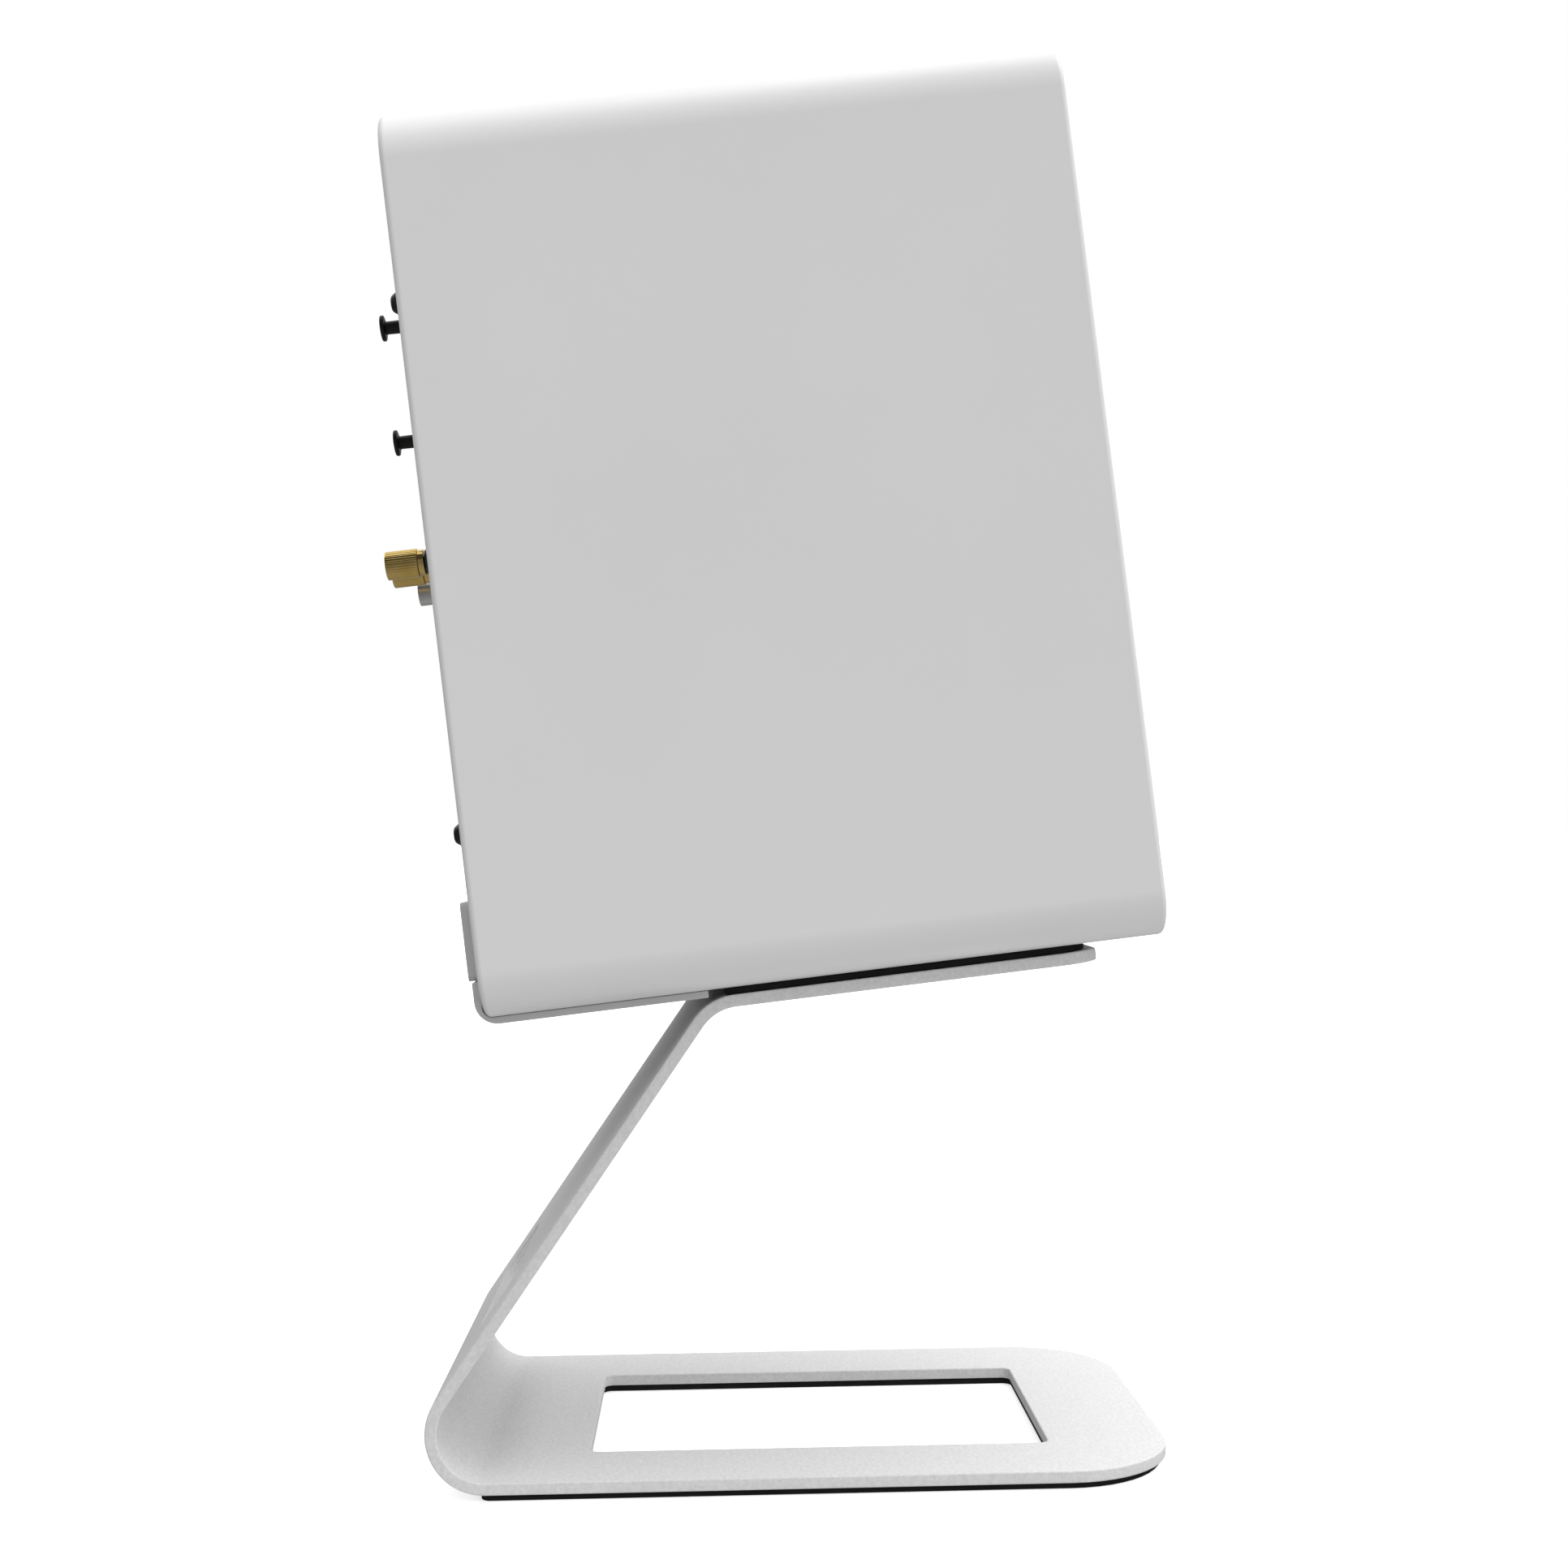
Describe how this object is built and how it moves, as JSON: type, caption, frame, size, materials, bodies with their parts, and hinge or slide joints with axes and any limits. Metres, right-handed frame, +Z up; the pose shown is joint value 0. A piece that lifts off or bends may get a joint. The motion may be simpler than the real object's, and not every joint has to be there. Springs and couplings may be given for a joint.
{
  "type": "bookshelf speaker",
  "caption": "Powered two-way bookshelf speaker with rounded white cabinet and rear amplifier panel, tilted back on a bent steel desk stand with cut-out base and rubber mats.",
  "frame": {"origin": "on the surface the stand rests on, under the centre of the whole object's bounding box", "axes": "+Z up; -Y is the way the drivers face (front) and +Y the rear panel; +X is the left-hand side for someone standing behind the speaker and looking at its rear panel"},
  "size_m": [0.175, 0.243, 0.4393],
  "materials": {
    "powder_coat": "light grey fine-texture powder coat",
    "stand_rubber": "matt black rubber",
    "tray_sheet": "mid grey paint",
    "cabinet_white": "satin white lacquer over fibreboard",
    "basket_black": "black textured paint",
    "cone_paper": "black coated paper",
    "surround_rubber": "satin black rubber",
    "spider_cloth": "resin-dipped woven cloth",
    "coil_wire": "enamelled copper wire",
    "plated_steel": "zinc plated",
    "ferrite": "sintered ferrite",
    "screw_black": "black oxide",
    "faceplate_black": "moulded satin black",
    "dome_silk": "coated black silk",
    "amp_panel": "brushed, clear anodised",
    "port_plastic": "moulded satin black",
    "knob_black": "moulded black",
    "pot_housing": "moulded grey",
    "post_insulator": "moulded blue-black",
    "post_brass": "bright turned",
    "jack_nickel": "nickel plated",
    "inlet_grey": "moulded grey",
    "switch_black": "moulded black",
    "circuit_green": "solder-masked laminate",
    "lead_red": "red PVC",
    "heat_sink_metal": "plain extruded"
  },
  "bodies": {
    "chassis": {"stand_plate": "powder_coat", "base_mat": "stand_rubber", "top_pad": "stand_rubber", "retaining_tray": "tray_sheet", "stand_screw_left": "plated_steel", "stand_screw_right": "plated_steel", "cabinet_shell": "cabinet_white", "front_baffle": "cabinet_white", "rear_board": "cabinet_white", "woofer_basket": "basket_black", "woofer_surround": "surround_rubber", "woofer_spider": "spider_cloth", "woofer_top_plate": "plated_steel", "woofer_magnet": "ferrite", "woofer_yoke": "plated_steel", "woofer_screw_1": "screw_black", "woofer_screw_2": "screw_black", "woofer_screw_3": "screw_black", "woofer_screw_4": "screw_black", "tweeter_faceplate": "faceplate_black", "tweeter_magnet": "ferrite", "tweeter_screw_1": "screw_black", "tweeter_screw_2": "screw_black", "tweeter_screw_3": "screw_black", "amp_plate": "amp_panel", "amp_screw_1": "screw_black", "amp_screw_2": "screw_black", "amp_screw_3": "screw_black", "amp_screw_4": "screw_black", "port_tube": "port_plastic", "volume_pot": "pot_housing", "tone_pot": "pot_housing", "post_bushing_left": "post_insulator", "post_stud_left": "post_brass", "post_bushing_right": "post_insulator", "post_stud_right": "post_brass", "rca_jack_sub": "jack_nickel", "rca_jack_left": "jack_nickel", "rca_jack_right": "jack_nickel", "aux_jack": "jack_nickel", "mains_inlet": "inlet_grey", "power_switch_frame": "switch_black", "heat_sink": "heat_sink_metal", "amp_board": "circuit_green", "transformer": "coil_wire", "crossover_board": "circuit_green", "woofer_lead": "lead_red", "tweeter_lead": "lead_red"},
    "volume_knob": {"volume_knob": "knob_black"},
    "tone_knob": {"tone_knob": "knob_black"},
    "power_rocker": {"power_rocker": "switch_black"},
    "post_collar_left": {"post_collar_left": "post_brass"},
    "post_nut_left": {"post_nut_left": "post_brass"},
    "post_collar_right": {"post_collar_right": "post_brass"},
    "post_nut_right": {"post_nut_right": "post_brass"},
    "woofer_cone": {"woofer_cone": "cone_paper", "woofer_dust_cap": "cone_paper", "woofer_voice_coil": "coil_wire"},
    "tweeter_dome": {"tweeter_dome": "dome_silk"}
  },
  "joints": [
    {"name": "volume_turn", "type": "hinge", "parent": "chassis", "child": "volume_knob", "pos_m": [-0.055, 0.11573, 0.35716], "axis": [0, 0.994, -0.1097], "range_deg": [-150, 150]},
    {"name": "tone_turn", "type": "hinge", "parent": "chassis", "child": "tone_knob", "pos_m": [-0.055, 0.11178, 0.32138], "axis": [0, 0.994, -0.1097], "range_deg": [-150, 150]},
    {"name": "power_rock", "type": "hinge", "parent": "chassis", "child": "power_rocker", "pos_m": [-0.022, 0.08876, 0.16758], "axis": [0, 0.1097, 0.994], "range_deg": [-18, 0]},
    {"name": "woofer_stroke", "type": "slide", "parent": "chassis", "child": "woofer_cone", "axis": [0, -0.994, 0.1097], "range_m": [-0.003, 0.003], "stiffness_N_per_m": 1200, "deforming": ["woofer_surround", "woofer_spider"]},
    {"name": "tweeter_stroke", "type": "slide", "parent": "chassis", "child": "tweeter_dome", "axis": [0, -0.994, 0.1097], "range_m": [-0.0003, 0.0003], "stiffness_N_per_m": 200},
    {"name": "post_left_travel", "type": "slide", "parent": "chassis", "child": "post_collar_left", "axis": [0, 0.994, -0.1097], "range_m": [0, 0.0028]},
    {"name": "post_left_turn", "type": "hinge", "parent": "post_collar_left", "child": "post_nut_left", "pos_m": [-0.06, 0.11153, 0.28268], "axis": [0, 0.994, -0.1097], "range_deg": [0, 1440.1]},
    {"name": "post_right_travel", "type": "slide", "parent": "chassis", "child": "post_collar_right", "axis": [0, 0.994, -0.1097], "range_m": [0, 0.0028]},
    {"name": "post_right_turn", "type": "hinge", "parent": "post_collar_right", "child": "post_nut_right", "pos_m": [-0.041, 0.11153, 0.28268], "axis": [0, 0.994, -0.1097], "range_deg": [0, 1440.1]}
  ],
  "couplings": [
    {"joint": "post_left_turn", "follows": "post_left_travel", "rad_per_m": 8976},
    {"joint": "post_right_turn", "follows": "post_right_travel", "rad_per_m": 8976}
  ]
}
